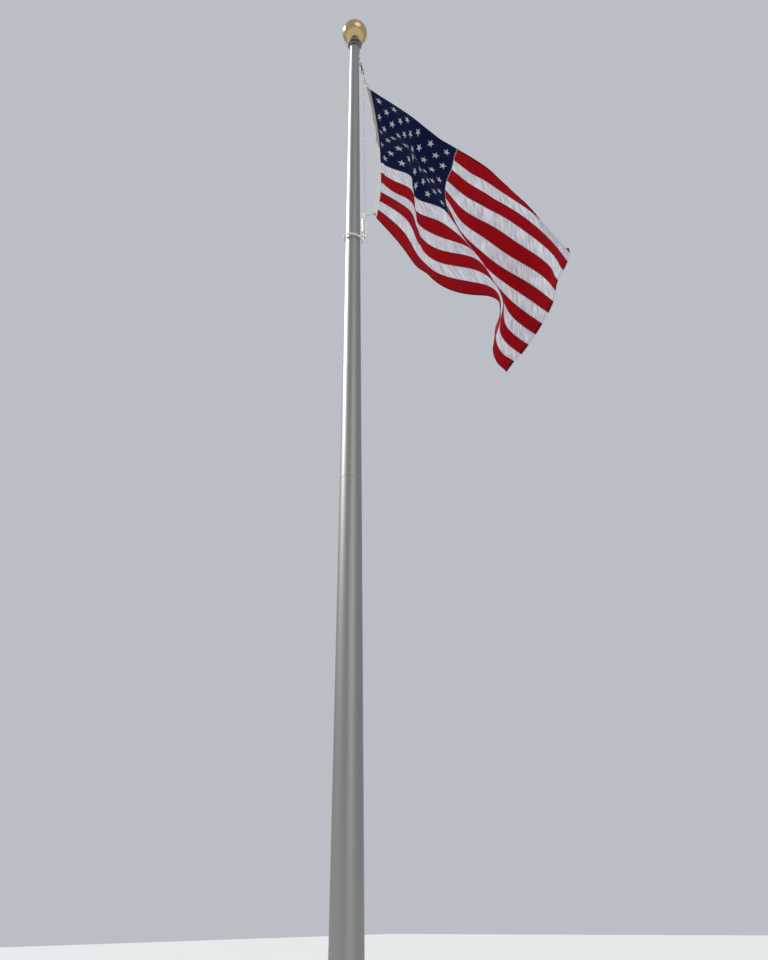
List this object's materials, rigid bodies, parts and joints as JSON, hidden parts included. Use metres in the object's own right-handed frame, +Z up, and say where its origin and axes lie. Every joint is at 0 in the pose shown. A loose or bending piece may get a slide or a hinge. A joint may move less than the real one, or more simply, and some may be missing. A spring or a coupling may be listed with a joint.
{
  "type": "flagpole",
  "caption": "Ground-set cone-tapered aluminium flagpole with a revolving truck, gold ball, weighted flag assembly and a beaded retainer ring; the flag swings about the pole.",
  "frame": {"origin": "centre of the shaft's butt end at ground level", "axes": "+Z up along the pole; the flag streams towards +X at rest; the access door faces +Y"},
  "size_m": [3.3562, 0.9997, 9.541],
  "materials": {
    "shaft_aluminium": "satin brushed",
    "mill_aluminium": "mill",
    "cast_aluminium": "cast, weathered",
    "stainless": "bright",
    "brass_fittings": "plain",
    "gold_ball": "gold anodised, bright",
    "wire_rope": "dull wire rope",
    "dark_nylon": "dark",
    "white_rope": "braided",
    "flag_cloth": "woven nylon",
    "heading_canvas": "canvas",
    "white_vinyl": "coated",
    "cream_plastic": "moulded"
  },
  "bodies": {
    "pole": {"lower_shaft": "shaft_aluminium", "upper_shaft": "shaft_aluminium", "joint_sleeve": "mill_aluminium", "ground_cover": "mill_aluminium", "door_frame": "mill_aluminium", "access_door": "shaft_aluminium", "door_lock": "brass_fittings", "pole_cap": "cast_aluminium", "thrust_bearing": "stainless"},
    "truck": {"truck_housing": "cast_aluminium", "sheave": "stainless", "sheave_axle": "stainless", "ball_stem": "stainless", "ball_lower": "gold_ball", "ball_upper": "gold_ball", "halyard_lead": "wire_rope", "lead_ferrule": "stainless", "lead_eye": "stainless", "top_snap": "dark_nylon", "top_link": "stainless", "flag_snap": "brass_fittings", "line_top_eye": "stainless", "down_line": "wire_rope", "line_low_eye": "stainless", "flag_cloth": "flag_cloth", "flag_heading": "heading_canvas", "top_grommet": "brass_fittings", "bottom_grommet": "brass_fittings", "counterweight": "white_vinyl", "weight_top_eye": "stainless", "weight_bottom_eye": "stainless", "near_clip": "stainless", "weight_tie": "white_rope", "far_clip": "stainless", "ring_snap": "stainless", "ring_link": "white_vinyl", "retainer_ring": "cream_plastic"}
  },
  "joints": [
    {"name": "truck_turn", "type": "hinge", "parent": "pole", "child": "truck", "pos_m": [0, 0, 9.18], "axis": [0, 0, 1], "continuous": true}
  ]
}
